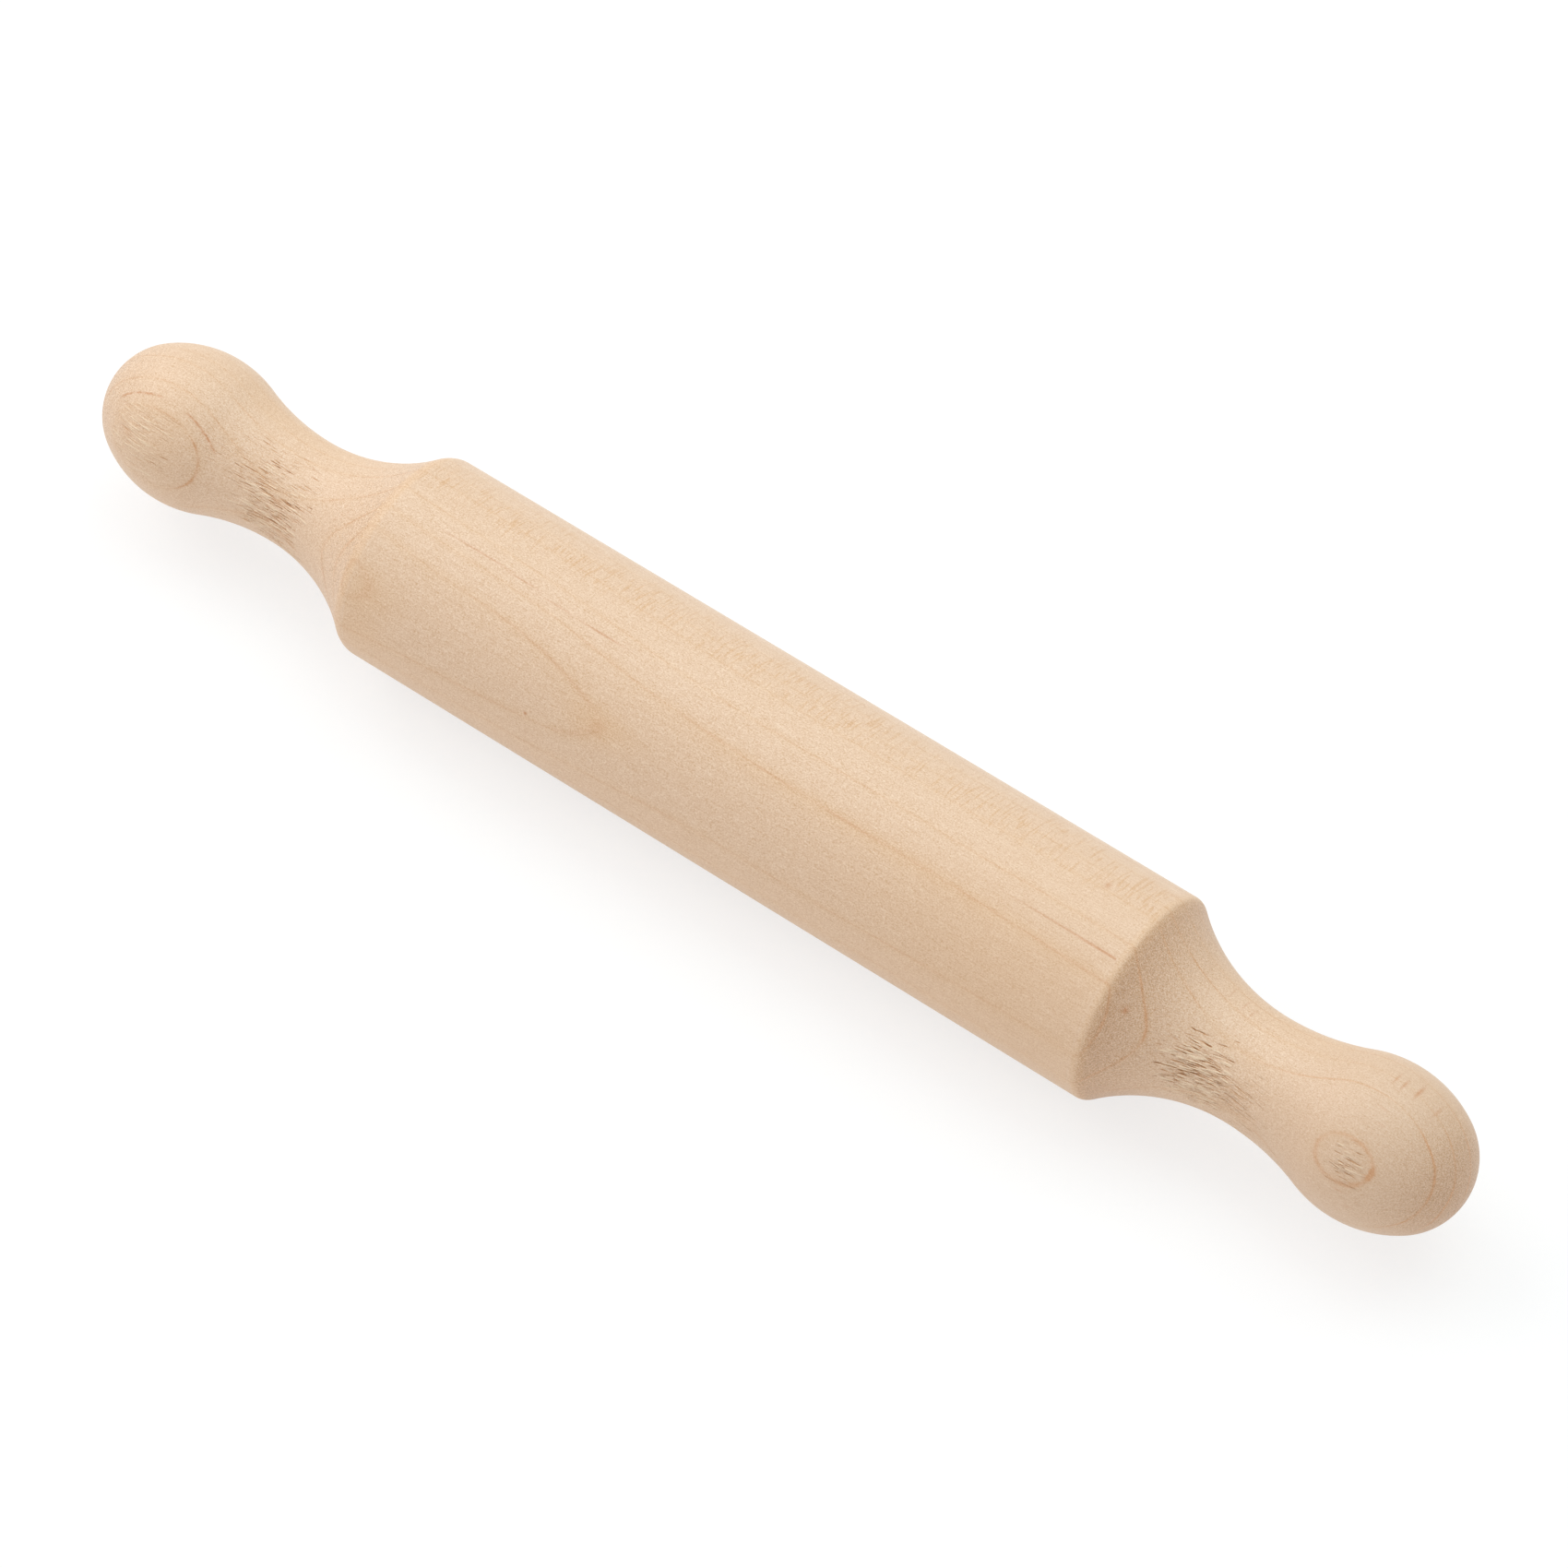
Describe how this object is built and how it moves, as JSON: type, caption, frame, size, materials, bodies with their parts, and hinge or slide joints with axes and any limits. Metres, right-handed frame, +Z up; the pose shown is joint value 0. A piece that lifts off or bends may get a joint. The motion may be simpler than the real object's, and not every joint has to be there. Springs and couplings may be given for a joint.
{
  "type": "rolling pin",
  "caption": "Small turned wooden rolling pin: a straight round barrel that runs through rounded shoulders and slim necks into ball-ended handles.",
  "frame": {"origin": "centre of the barrel, on the axis that the pin was turned about", "axes": "+X along the turning axis towards the right handle; +Z up; the pin is round about X"},
  "size_m": [0.22, 0.03, 0.03],
  "materials": {
    "wood": "bare, fine-sanded pale hardwood, unvarnished and dry"
  },
  "bodies": {
    "root": {"barrel": "wood", "left_handle": "wood", "right_handle": "wood"}
  },
  "joints": []
}
